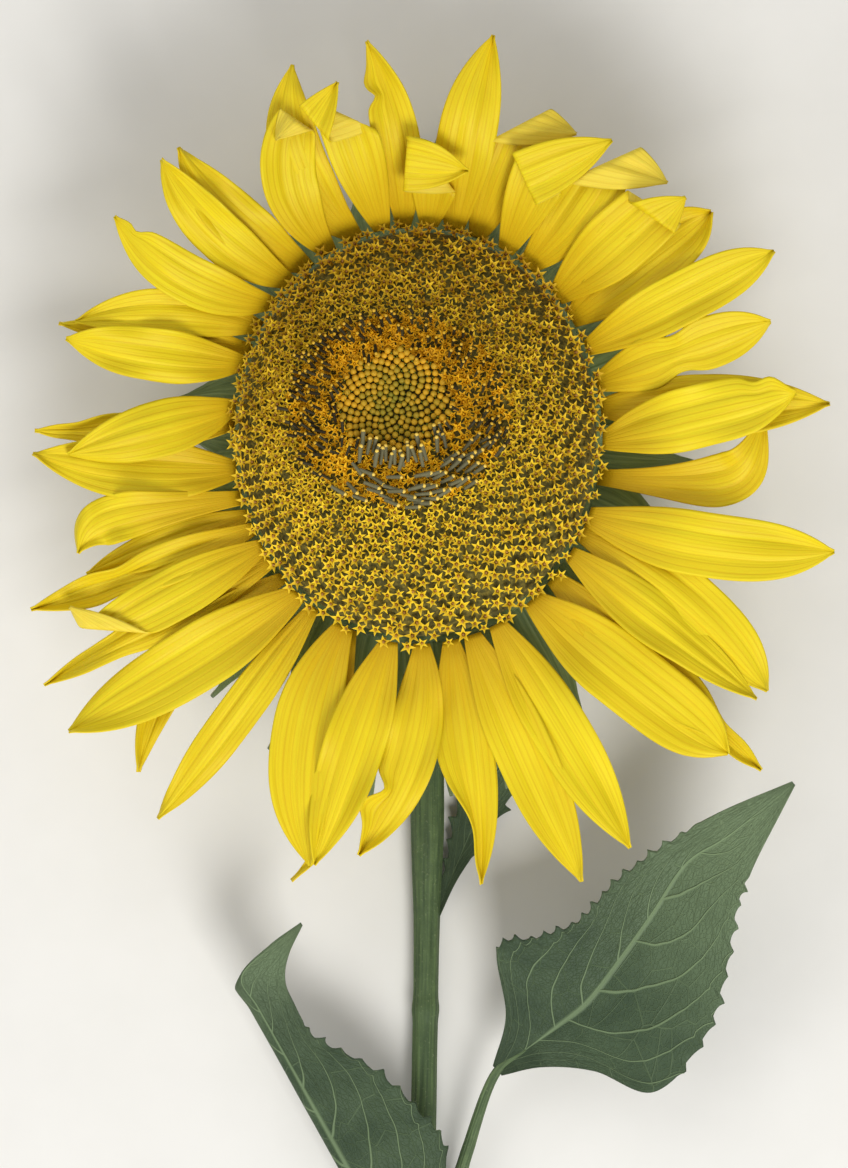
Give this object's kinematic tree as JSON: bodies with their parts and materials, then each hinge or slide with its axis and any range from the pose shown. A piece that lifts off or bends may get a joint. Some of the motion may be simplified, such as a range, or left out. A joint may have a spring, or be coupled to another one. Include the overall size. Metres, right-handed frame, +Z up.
{
  "type": "cut sunflower head on a leafy stem",
  "caption": "Cut sunflower lying face up: domed seed disc in a ring of long ray petals, green bracts behind, curved neck, straight stem and toothed leaves.",
  "frame": {"origin": "middle of the floor under the whole flower's box; the flower lies on its back with its face up", "axes": "+Y from the cut end of the stem towards the top of the flower, +X to the flower's right as seen from above, +Z up out of its face"},
  "size_m": [0.2048, 0.3566, 0.0585],
  "materials": {
    "petal": "soft satin, finely veined lengthwise",
    "open_floret": "matt, star-shaped florets packed close",
    "anther": "matt, dusty with pollen",
    "bud": "waxy, tightly packed closed buds",
    "bract": "matt, finely hairy",
    "stem": "matt, ribbed and bristly",
    "leaf": "matt, rough, with a net of raised veins"
  },
  "bodies": {
    "root": {"disc_anthers": "anther", "disc_buds": "bud", "disc_open_florets": "open_floret", "head_back": "bract", "leaf_left": "leaf", "leaf_right": "leaf", "leaf_small": "leaf", "neck": "stem", "ray_01": "petal", "ray_02": "petal", "ray_03": "petal", "ray_04": "petal", "ray_05": "petal", "ray_06": "petal", "ray_07": "petal", "ray_08": "petal", "ray_09": "petal", "ray_10": "petal", "ray_11": "petal", "ray_12": "petal", "ray_13": "petal", "ray_14": "petal", "ray_15": "petal", "ray_16": "petal", "ray_17": "petal", "ray_18": "petal", "ray_19": "petal", "ray_20": "petal", "ray_21": "petal", "ray_22": "petal", "ray_23": "petal", "ray_24": "petal", "ray_25": "petal", "ray_26": "petal", "ray_27": "petal", "ray_28": "petal", "ray_29": "petal", "ray_30": "petal", "ray_31": "petal", "ray_32": "petal", "ray_33": "petal", "ray_34": "petal", "ray_35": "petal", "ray_36": "petal", "ray_37": "petal", "ray_38": "petal", "ray_39": "petal", "ray_40": "petal", "ray_41": "petal", "ray_42": "petal", "ray_43": "petal", "ray_44": "petal", "ray_45": "petal", "stalk_left": "stem", "stalk_right": "stem", "stem": "stem"}
  },
  "joints": []
}
